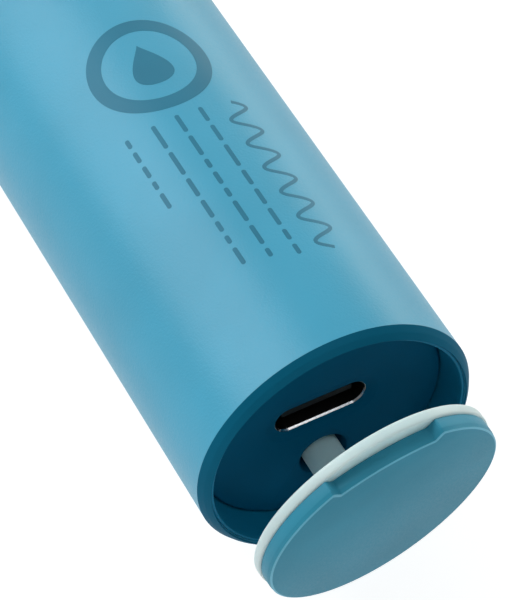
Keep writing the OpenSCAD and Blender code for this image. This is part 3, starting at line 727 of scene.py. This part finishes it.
def make_tether():
    """One silicone stem from the barb behind the plate to the boss on the cap, bent between them."""
    along_handle = Vector((1, 0, 0))
    shank_end = Vector((SHANK_FACE_X, 0, TETHER_Z))
    boss_face = CAP_OPEN @ Vector((GASKET_X + GASKET_T + BOSS_T, 0, TETHER_Z))
    cap_normal = (CAP_OPEN.to_3x3() @ along_handle).normalized()
    end_x = SHANK_HIGH.x
    barb = fillet([(end_x, 0), (end_x, 1), (end_x - BARB_TIP, BARB_R), (end_x - BARB_LEN, BARB_R),
                   (end_x - BARB_LEN, TETHER_R)], [0, 0.3, 0.3, 0.2, 0])
    shank = [(SHANK_FACE_X + 3, TETHER_R), (SHANK_FACE_X + 1, TETHER_R)]
    neck_steps, sides, sunk = 16, 48, 0.15
    flare_w, flare_from = 0.35, 0.6
    reach = (shank_end - boss_face).length / 3
    # The neck's middle line is a cubic Bezier curve, square to the plate and to the cap
    guides = (shank_end, shank_end - along_handle * reach, boss_face + cap_normal * reach,
              boss_face - cap_normal * sunk)

    def build(shape):
        rings = [(Vector((x, 0, TETHER_Z)), along_handle, radius) for x, radius in barb + shank]
        for i in range(neck_steps + 1):
            t = i / neck_steps
            weights = ((1 - t) ** 3, 3 * t * (1 - t) ** 2, 3 * t * t * (1 - t), t ** 3)
            at = sum((p * w for p, w in zip(guides, weights)), Vector())
            facing = along_handle.lerp(cap_normal, t).normalized()
            flare = flare_w * (max(0, t - flare_from) / (1 - flare_from)) ** 2
            rings.append((at, facing, TETHER_R + flare))
        loops = []
        for at, facing, radius in rings:
            side = facing.cross(Vector((0, 0, 1))).normalized()
            up = side.cross(facing)
            if radius < TINY:
                loops.append([shape.verts.new(at)])
                continue
            loops.append([shape.verts.new(at + (side * math.cos(a) + up * math.sin(a)) * radius)
                          for a in (math.tau * k / sides for k in range(sides))])
        for first, second in zip(loops, loops[1:]):
            bridge(shape, first, second)
        shape.faces.new(loops[-1])

    tether = finish_object("tether_fine", mesh_from("tether_fine", build), None, "gasket_milky",
                           ["tether_shank", "tether_neck"])
    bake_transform(tether)


# ---------------------------------------------------------------- print on the handle's back

PRINT_RISE = 0.012
# The mark's centre, its radius and the width of its ring; arcs are measured from the top
MARK_X, MARK_ARC, MARK_R, MARK_STROKE = 35.8, -0.35, 5.6, 1.4
WAVE_ARC, WAVE_HEIGHT, WAVE_LENGTH, WAVE_STROKE = -5.1, 1.15, 3.1, 0.36
DROP_LEN, DROP_W = 2.5, 2.6
# Rows of dashes: (arc from the top, start and end along the handle)
DASH_ROWS = ((-2.0, 29.2, 10.5), (0.25, 29.2, 10.5), (2.5, 29.2, 10.5), (5.05, 29.4, 20.6))
DASH_HEIGHT = 0.42
DASH_SHORTEST, DASH_LONGEST, DASH_GAP = 0.9, 2.9, 0.55
ROW_SPARE = 1                       # a row stops when no more than this is left of it


def add_inlay(shape, rows, closed=False):
    """A thin raised patch on the barrel; rows are side by side and hold (x, arc from the top)."""
    def lay(rise):
        radius = HANDLE_R + rise
        return [[shape.verts.new((x, radius * math.sin(s / HANDLE_R), radius * math.cos(s / HANDLE_R)))
                 for x, s in row] for row in rows]

    top, low = lay(PRINT_RISE), lay(-PRINT_RISE)
    count = len(rows[0])
    for i in range(count if closed else count - 1):
        j = (i + 1) % count
        for sheet in (top, low):
            for first, second in zip(sheet, sheet[1:]):
                shape.faces.new((first[i], first[j], second[j], second[i]))
        for k in (0, -1):
            shape.faces.new((top[k][i], top[k][j], low[k][j], low[k][i]))
    if not closed:
        for i in (0, -1):
            for k in range(len(rows) - 1):
                shape.faces.new((top[k][i], top[k + 1][i], low[k + 1][i], low[k][i]))


def add_dash(shape, start, end, arc_at):
    """A bar with round ends along the handle."""
    half, blunt, steps = DASH_HEIGHT / 2, 0.02, 5
    turns = [math.pi / 2 * i / steps for i in range(steps + 1)]
    places = [(start - half + half * math.cos(a), max(blunt, half * math.sin(a))) for a in turns]
    places += [(end + half - half * math.cos(a), max(blunt, half * math.sin(a)))
               for a in reversed(turns)]
    add_inlay(shape, [[(x, arc_at + side * wide) for x, wide in places] for side in (-1, 0, 1)])


def make_back_print():
    """Plain ornament where the handle is printed: a drop in a ring, a wave and rows of dashes."""
    chance = random.Random(11)
    ring_steps, ring_rows, drop_steps, drop_rows, wave_steps = 160, 5, 40, 6, 240

    def add_ring(shape):
        turns = [math.tau * i / ring_steps for i in range(ring_steps)]
        radii = [MARK_R - MARK_STROKE * k / ring_rows for k in range(ring_rows + 1)]
        add_inlay(shape, [[(MARK_X + r * math.cos(a), MARK_ARC + r * math.sin(a)) for a in turns]
                          for r in radii], closed=True)

    def add_drop(shape):
        bends = [math.pi * (0.01 + 0.98 * i / drop_steps) for i in range(drop_steps + 1)]
        drop = [(MARK_X + DROP_LEN * math.cos(a), DROP_W * math.sin(a) * math.sin(a / 2) ** 1.5)
                for a in bends]
        add_inlay(shape, [[(x, MARK_ARC + wide * k / drop_rows) for x, wide in drop]
                          for k in range(-drop_rows, drop_rows + 1)])

    def add_wave(shape, start, end):
        wave = [[], [], []]
        for i in range(wave_steps + 1):
            x = start + (end - start) * i / wave_steps
            phase = math.tau * (x - start) / WAVE_LENGTH
            slope = WAVE_HEIGHT * math.tau / WAVE_LENGTH * math.cos(phase)
            normal = Vector((-slope, 1)).normalized() * WAVE_STROKE / 2
            for k in (-1, 0, 1):
                wave[k + 1].append((x + k * normal.x,
                                    WAVE_ARC + WAVE_HEIGHT * math.sin(phase) + k * normal.y))
        add_inlay(shape, wave)

    def build(shape):
        add_ring(shape)
        add_drop(shape)
        add_wave(shape, *DASH_ROWS[0][1:])
        for arc_at, start, end in DASH_ROWS:
            x = start
            while x > end + ROW_SPARE:
                length = min(chance.uniform(DASH_SHORTEST, DASH_LONGEST), x - end)
                add_dash(shape, x, x - length, arc_at)
                x -= length + DASH_GAP

    finish_object("back_print", mesh_from("back_print", build), "handle", "liner_blue",
                  look="back_print")


# ---------------------------------------------------------------- button, lights and nose

def make_button():
    """Rocker of the switch: it follows the barrel, with a soft edge and a shallow finger dish."""
    length = BUTTON_HIGH.x - BUTTON_LOW.x - 2 * BUTTON_FLANGE
    width = BUTTON_HIGH.y - BUTTON_LOW.y - 2 * BUTTON_FLANGE
    outline = stadium_outline(length, width, 32)
    edge, edge_steps = 0.35, 6
    dish, dish_step, dish_steps = 0.22, 0.3, 11
    face_r = HANDLE_R - BUTTON_SUNK
    quarter = [math.pi / 2 * i / edge_steps for i in range(edge_steps + 1)]
    layers = [(0, BUTTON_DEPTH)]
    layers += [(edge * (1 - math.cos(a)), edge * (1 - math.sin(a))) for a in quarter]
    layers += [(edge + dish_step * i, dish * ease(i / dish_steps)) for i in range(1, dish_steps + 1)]

    def build(shape):
        rings = [[shape.verts.new((BUTTON_X + p[0], p[1], rise - math.sqrt(face_r ** 2 - p[1] ** 2)))
                  for p in offset_outline(outline, inset)] for inset, rise in layers]
        for first, second in zip(rings, rings[1:]):
            bridge(shape, first, second)
        shape.faces.new(rings[0])
        shape.faces.new(rings[-1])

    finish_object("power_button_fine", mesh_from("power_button_fine", build), "power_button",
                  "button_blue", ["power_button"], sharp=50)


def make_light_windows():
    """Clear lenses of the mode lights, level with the barrel."""
    face = -HANDLE_R
    lens = [(face + 0.03, 0), (face + 0.035, LENS_R * 0.7), (face + 0.08, LENS_R * 0.93),
            (face + 0.2, LENS_R), (WINDOW_HIGH.z, LENS_R), (WINDOW_HIGH.z, 0)]

    def build(shape):
        for i in range(LENS_COUNT):
            add_lathe(shape, lens, (0, -(WINDOW_LOW.x + LENS_R + i * LENS_PITCH)), False, 40)

    finish_object("light_windows_fine", mesh_from("light_windows_fine", build, FACE_DOWN), "handle",
                  "window_clear", ["light_windows"])


def make_turned(node, outline, radii, body, slot, segments=RINGS):
    """A piece turned about the handle's axis, in place of a CAD node."""
    mesh = mesh_from(node + "_fine", lambda shape: add_lathe(
        shape, fillet(outline, radii), segments=segments))
    finish_object(node + "_fine", mesh, body, slot, [node])


def make_nose():
    """Rings where the brush head meets the handle, and the soft seal round the shaft."""
    low, high = node_box("nose_ring")
    bore = NOSE_BORE_R + 0.05
    make_turned("nose_ring", [(low.x, bore), (low.x, high.y), (high.x, high.y), (high.x, bore)],
                [0, 0.08, 0.35, 0.1], "handle", "ring_white")

    low, high = node_box("head_ring")
    make_turned("head_ring", [(low.x, RING_BORE_R), (low.x, high.y), (high.x, high.y),
                              (high.x, RING_BORE_R)], [0.1, 0.3, 0.08, 0], "brush_head", "button_blue")

    low, high = node_box("shaft_seal")
    bore, neck_r, flange_x = 2.05, NOSE_BORE_R - GAP, NOSE_X - NOSE_WALL - GAP
    seal = [(low.x, bore), (low.x, high.y), (flange_x, high.y), (flange_x, neck_r),
            (NOSE_X + 0.8, neck_r), (NOSE_X + 1.0, 4.2), (NOSE_X + 0.7, 3.6), (high.x, 3.0),
            (high.x, bore)]
    make_turned("shaft_seal", seal, [0, 0, 0, 0, 0.2, 0.15, 0.15, 0.2, 0.05], "handle",
                "seal_milky", segments=128)


# ---------------------------------------------------------------- the brush head

def squared(t, power):
    """A sine or cosine raised to a power that keeps its sign, which squares off an oval."""
    return math.copysign(abs(t) ** power, t)


def make_head_sleeve():
    """Round base that narrows to a neck, which widens and flattens into the bristle platform."""
    overlap = 4
    x0, x1 = HEAD_LOW.x, PLATFORM_X - PLATFORM_LEN / 2 + overlap
    steps, points = 96, 96
    flare_wide, flare_flat, flare_rise, flare_square = 2.0, 1.45, 0.2, 1.2

    def build(shape):
        rings = []
        for i in range(steps + 1):
            x = x0 + (x1 - x0) * i / steps
            taper = max(0, min(1, (x - x0 - HEAD_BASE_LEN) / HEAD_TAPER_LEN))
            radius = NECK_R + (HEAD_BASE_R - NECK_R) * (1 + math.cos(math.pi * taper)) / 2
            flare = ease((x - (x1 - HEAD_FLARE_LEN)) / HEAD_FLARE_LEN)
            wide, high = radius + flare * flare_wide, radius - flare * flare_flat
            power = 2 / (2 + flare_square * flare)
            ring = []
            for k in range(points):
                a = math.tau * k / points
                y = wide * squared(math.sin(a), power)
                z = high * squared(math.cos(a), power)
                ring.append(shape.verts.new((x, y, z + flare * flare_rise)))
            rings.append(ring)
        for first, second in zip(rings, rings[1:]):
            bridge(shape, first, second)
        shape.faces.new(rings[0])
        shape.faces.new(rings[-1])

    neck = mesh_from("neck", build)
    platform = mesh_from("platform", lambda shape: add_plate(
        shape, stadium_outline(PLATFORM_LEN, PLATFORM_W, 48),
        edge_layers(PLATFORM_LOW_Z, PLATFORM_TOP_Z, 0.5, 1.4, 8)), UPRIGHT_PLATFORM)
    bore = mesh_from("bore", lambda shape: add_lathe(shape, [
        (x0 - 1, 0), (x0 - 1, HEAD_BORE_R), (HEAD_BORE_END, HEAD_BORE_R), (HEAD_BORE_END, 0)],
        closed=False, segments=128))
    whole = cut(cut(neck, platform, operation="UNION"), bore)
    finish_object("head_sleeve_fine", whole, "brush_head", "head_white", ["head_sleeve"], sharp=38)


def add_filament(shape, x, y, tip_z, lean):
    """One round-ended nylon filament, which leans a little as it goes down."""
    top_z, sides = PLATFORM_LOW_Z + 0.4, 6
    levels = [(top_z, FILAMENT_R), (tip_z + 0.12, FILAMENT_R), (tip_z + 0.03, FILAMENT_R * 0.75),
              (tip_z, FILAMENT_R * 0.35)]
    rings = []
    for z, r in levels:
        drift = (top_z - z) / (top_z - tip_z)
        at = (x + lean[0] * drift, y + lean[1] * drift)
        rings.append([shape.verts.new((at[0] + r * math.cos(math.tau * k / sides),
                                       at[1] + r * math.sin(math.tau * k / sides), z))
                      for k in range(sides)])
    for first, second in zip(rings, rings[1:]):
        bridge(shape, first, second)
    shape.faces.new(rings[-1])


def make_tufts(outer):
    """All filaments of the outer or the inner tufts."""
    chance = random.Random(3 if outer else 5)
    node = "tufts_outer" if outer else "tufts_inner"
    tip_z = node_box(node)[0].z
    last_row = len(TUFT_COUNTS) - 1
    row_pitch, reach = FILAMENT_PITCH * 0.866, TUFT_R - 0.12
    stray, spread, uneven = 0.05, 0.12, 0.14
    spots = [(FILAMENT_PITCH * (i + (j % 2) / 2), row_pitch * j)
             for i in range(-4, 5) for j in range(-4, 5)]
    spots = [spot for spot in spots if math.hypot(*spot) < reach]

    def build(shape):
        for row, count in enumerate(TUFT_COUNTS):
            for i in range(count):
                edge = row in (0, last_row) or i in (0, count - 1)
                if edge != outer:
                    continue
                x = PLATFORM_X + (i - (count - 1) / 2) * TUFT_PITCH
                y = (row - last_row / 2) * TUFT_ROW_PITCH
                for number, (dx, dy) in enumerate(spots):
                    lean = (chance.uniform(-stray, stray) + dx * spread,
                            chance.uniform(-stray, stray) + dy * spread)
                    # A tuft's first filament reaches the CAD tuft's lowest point
                    tip = tip_z + (chance.uniform(0, uneven) if number else 0)
                    add_filament(shape, x + dx, y + dy, tip, lean)

    finish_object(node + "_fine", mesh_from(node + "_fine", build), "brush_head",
                  "bristle_white" if outer else "bristle_blue", [node], sharp=60)


# ---------------------------------------------------------------- floor, light and camera

FLOOR_HALF = 1.5                    # metres
# The floor's own light, as the camera sees it and as the object gets it
FLOOR_WHITE, FLOOR_GLOW = 0.86, 0.58
SOFTBOX_DISTANCE = 0.8              # metres
ROOM_DARK, ROOM_BRIGHT = 0.06, 0.60
BACKDROP = 0.95


def make_floor():
    """Matt white sheet on a light table: it glows evenly, so shadows stay faint."""
    mesh = bpy.data.meshes.new("floor")
    corners = [(-1, -1), (1, -1), (1, 1), (-1, 1)]
    mesh.from_pydata([(x * FLOOR_HALF, y * FLOOR_HALF, TABLE_Z * MM) for x, y in corners],
                     [], [(0, 1, 2, 3)])
    floor = bpy.data.objects.new("floor", mesh)
    bpy.context.scene.collection.objects.link(floor)
    made, tree, shader = shader_tree("floor_paper")
    paper = ramp(tree, noise(tree, 0.02, 2), [(0.3, (0.33, 0.33, 0.33)), (0.7, (0.35, 0.35, 0.35))])
    tree.links.new(paper, shader.inputs["Base Color"])
    shader.inputs["Roughness"].default_value = 0.95
    shader.inputs["Specular IOR Level"].default_value = 0.0
    shader.inputs["Emission Color"].default_value = (1, 1, 1, 1)
    seen = add_node(tree, "ShaderNodeLightPath").outputs["Is Camera Ray"]
    tree.links.new(span(tree, seen, FLOOR_GLOW, FLOOR_WHITE, (0, 1)), shader.inputs["Emission Strength"])
    mesh.materials.append(made)


def add_softbox(name, direction, size, brightness, along=(0, 0, 1), colour=(1, 1, 1)):
    """An area light that faces the base; size is (width, height) in metres, height runs along."""
    lamp = bpy.data.lights.new(name, "AREA")
    lamp.shape = "RECTANGLE"
    lamp.size, lamp.size_y = size
    lamp.energy = brightness * math.pi * size[0] * size[1]
    lamp.color = colour
    box = bpy.data.objects.new(name, lamp)
    towards = Vector(direction).normalized()
    across = Vector(along).cross(towards).normalized()
    turn = Matrix((across, towards.cross(across), towards)).transposed().to_4x4()
    box.matrix_world = Matrix.Translation(towards * SOFTBOX_DISTANCE) @ turn
    bpy.context.scene.collection.objects.link(box)


def make_room():
    """Dim room that is brighter towards +X. The camera sees a pale backdrop in its place."""
    world = bpy.data.worlds.new("studio")
    world.use_nodes = True
    tree = world.node_tree
    room = tree.nodes["Background"]
    where = add_node(tree, "ShaderNodeTexCoord").outputs["Generated"]
    split = add_node(tree, "ShaderNodeSeparateXYZ")
    tree.links.new(where, split.inputs["Vector"])
    strength = span(tree, split.outputs["X"], ROOM_DARK, ROOM_BRIGHT, (-0.6, 0.8))
    tree.links.new(strength, room.inputs["Strength"])
    room.inputs["Color"].default_value = (1, 1, 1, 1)
    backdrop = add_node(tree, "ShaderNodeBackground", Strength=BACKDROP)
    seen = add_node(tree, "ShaderNodeLightPath").outputs["Is Camera Ray"]
    mix = add_node(tree, "ShaderNodeMixShader")
    tree.links.new(seen, mix.inputs["Fac"])
    tree.links.new(room.outputs["Background"], mix.inputs[1])
    tree.links.new(backdrop.outputs["Background"], mix.inputs[2])
    tree.links.new(mix.outputs["Shader"], tree.nodes["World Output"].inputs["Surface"])
    bpy.context.scene.world = world
    bpy.context.scene.view_settings.view_transform = "Standard"


def make_lights():
    """A long softbox above the +Y side, a low strip on the -Y side, a panel beyond the brush
    head, a card above the handle and a card in front of the base."""
    add_softbox("key_box", (0.47, 0.49, 0.70), (0.58, 0.82), 2.6, (0, 0.81, -0.58))
    add_softbox("side_strip", (0.5, -0.95, 0.16), (0.9, 0.28), 2.5, colour=(1, 0.97, 0.86))
    add_softbox("back_panel", (0.86, -0.10, 0.50), (0.9, 0.5), 1.0)
    add_softbox("top_card", (-0.38, -0.27, 0.90), (0.35, 0.35), 1.9)
    add_softbox("front_card", (-0.92, -0.02, 0.38), (0.4, 0.4), 1.5)


CAMERA_AZIMUTH = math.radians(24.74)
CAMERA_ELEVATION = math.radians(50.55)
CAMERA_ROLL = math.radians(-3)
CAMERA_DISTANCE = 245.6             # mm, to the centre of the base's rim
FOCAL_PIXELS = 2958.8
RIM_OFFSET = (75.44, 145.41)        # pixels, right of and below the picture's middle
FRAME_LONG_SIDE = 600               # pixels
SENSOR = 36                         # mm


def make_camera():
    """Looks down at the base from its +Y side."""
    back = Vector((-math.cos(CAMERA_ELEVATION) * math.cos(CAMERA_AZIMUTH),
                   math.cos(CAMERA_ELEVATION) * math.sin(CAMERA_AZIMUTH), math.sin(CAMERA_ELEVATION)))
    level = (-back).cross(Vector((0, 0, 1))).normalized()
    right = Matrix.Rotation(CAMERA_ROLL, 3, back) @ level
    up = back.cross(right)
    scale = CAMERA_DISTANCE / FOCAL_PIXELS
    place_mm = back * CAMERA_DISTANCE - right * RIM_OFFSET[0] * scale + up * RIM_OFFSET[1] * scale
    lens = bpy.data.cameras.new("camera")
    lens.sensor_width = SENSOR
    lens.lens = FOCAL_PIXELS * SENSOR / FRAME_LONG_SIDE
    lens.clip_start, lens.clip_end = 0.01, 10
    camera = bpy.data.objects.new("camera", lens)
    turn = Matrix((right, up, back)).transposed().to_4x4()
    camera.matrix_world = Matrix.Translation(place_mm * MM) @ turn
    bpy.context.scene.collection.objects.link(camera)
    bpy.context.scene.camera = camera


make_room()
make_camera()
make_lights()
make_floor()
dress_cad_nodes()
make_handle_shell()
make_base_sleeve()
make_port_plate()
make_socket()
make_cap_disc()
make_cap_gasket()
make_tether()
make_back_print()
make_button()
make_light_windows()
make_nose()
make_head_sleeve()
make_tufts(True)
make_tufts(False)
